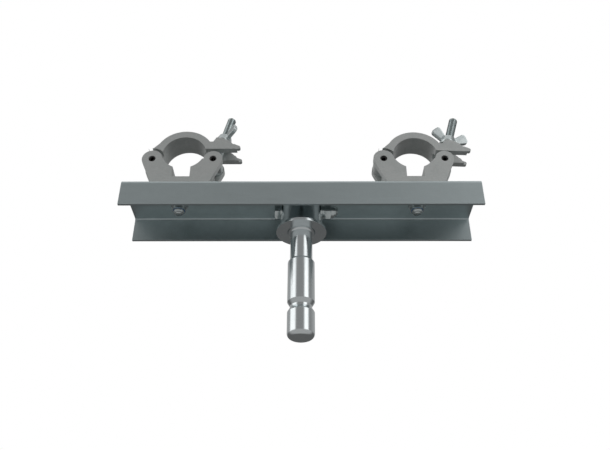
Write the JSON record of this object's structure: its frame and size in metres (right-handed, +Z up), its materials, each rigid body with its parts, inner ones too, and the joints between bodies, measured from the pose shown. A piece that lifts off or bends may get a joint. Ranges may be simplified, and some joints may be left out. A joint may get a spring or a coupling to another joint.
{
  "type": "pipe clamp",
  "caption": "Truss adapter: a folded channel with hinged tube clamps on top and a grooved plug-in spigot held in a sleeve below.",
  "frame": {"origin": "centre of the spigot's upper shoulder, where its full diameter begins", "axes": "+X along the channel towards the swing bolts of the couplers, +Y along the tubes, +Z up from the spigot towards the tubes"},
  "size_m": [0.3859, 0.075, 0.2824],
  "materials": {
    "channel": "zinc-plated folded sheet, satin",
    "chrome": "polished chrome plate",
    "coupler": "tumbled cast aluminium, satin",
    "zinc": "bright zinc plate",
    "pin": "dark oiled spring steel",
    "nylon": "natural nylon"
  },
  "bodies": {
    "frame": {"channel": "channel", "sleeve": "chrome", "spigot": "chrome", "stud_washer": "zinc", "stud_nut": "zinc", "stud_nut_ring": "nylon", "cross_bolt": "zinc", "cross_washers": "zinc", "cross_spring_washer": "zinc", "cross_nut": "zinc", "cross_nut_ring": "nylon", "left_saddle": "coupler", "left_hinge_pin": "pin", "left_swing_pin": "pin", "left_mount_bolt": "zinc", "left_mount_washer": "zinc", "left_mount_nut": "zinc", "left_mount_nut_ring": "nylon", "right_saddle": "coupler", "right_hinge_pin": "pin", "right_swing_pin": "pin", "right_mount_bolt": "zinc", "right_mount_washer": "zinc", "right_mount_nut": "zinc", "right_mount_nut_ring": "nylon"},
    "left_cap": {"left_cap": "coupler"},
    "left_swing_bolt": {"left_swing_bolt": "zinc"},
    "left_nut_washer": {"left_nut_washer": "zinc"},
    "left_wing_nut": {"left_wing_nut": "zinc"},
    "right_cap": {"right_cap": "coupler"},
    "right_swing_bolt": {"right_swing_bolt": "zinc"},
    "right_nut_washer": {"right_nut_washer": "zinc"},
    "right_wing_nut": {"right_wing_nut": "zinc"}
  },
  "joints": [
    {"name": "left_cap_hinge", "type": "hinge", "parent": "frame", "child": "left_cap", "pos_m": [-0.1689, 0, 0.1274], "axis": [0, -1, 0], "range_deg": [0, 14.7]},
    {"name": "left_bolt_swing", "type": "hinge", "parent": "frame", "child": "left_swing_bolt", "pos_m": [-0.1001, 0, 0.1274], "axis": [0, 1, 0], "range_deg": [0, 90]},
    {"name": "left_washer_slide", "type": "slide", "parent": "left_swing_bolt", "child": "left_nut_washer", "axis": [0.2334, 0, 0.9724], "range_m": [0, 0.018]},
    {"name": "left_nut_spin", "type": "hinge", "parent": "left_nut_washer", "child": "left_wing_nut", "pos_m": [-0.1001, 0, 0.1274], "axis": [0.2334, 0, 0.9724], "range_deg": [0, 4320]},
    {"name": "right_cap_hinge", "type": "hinge", "parent": "frame", "child": "right_cap", "pos_m": [0.0926, 0, 0.1274], "axis": [0, -1, 0], "range_deg": [0, 14.7]},
    {"name": "right_bolt_swing", "type": "hinge", "parent": "frame", "child": "right_swing_bolt", "pos_m": [0.1614, 0, 0.1274], "axis": [0, 1, 0], "range_deg": [0, 90]},
    {"name": "right_washer_slide", "type": "slide", "parent": "right_swing_bolt", "child": "right_nut_washer", "axis": [0.2756, 0, 0.9613], "range_m": [0, 0.018]},
    {"name": "right_nut_spin", "type": "hinge", "parent": "right_nut_washer", "child": "right_wing_nut", "pos_m": [0.1614, 0, 0.1274], "axis": [0.2756, 0, 0.9613], "range_deg": [0, 4320]}
  ],
  "couplings": [
    {"joint": "left_washer_slide", "follows": "left_nut_spin", "m_per_rad": 0.00023873},
    {"joint": "left_cap_hinge", "follows": "left_nut_spin", "ratio": 0.0034},
    {"joint": "right_washer_slide", "follows": "right_nut_spin", "m_per_rad": 0.00023873},
    {"joint": "right_cap_hinge", "follows": "right_nut_spin", "ratio": 0.0034}
  ]
}
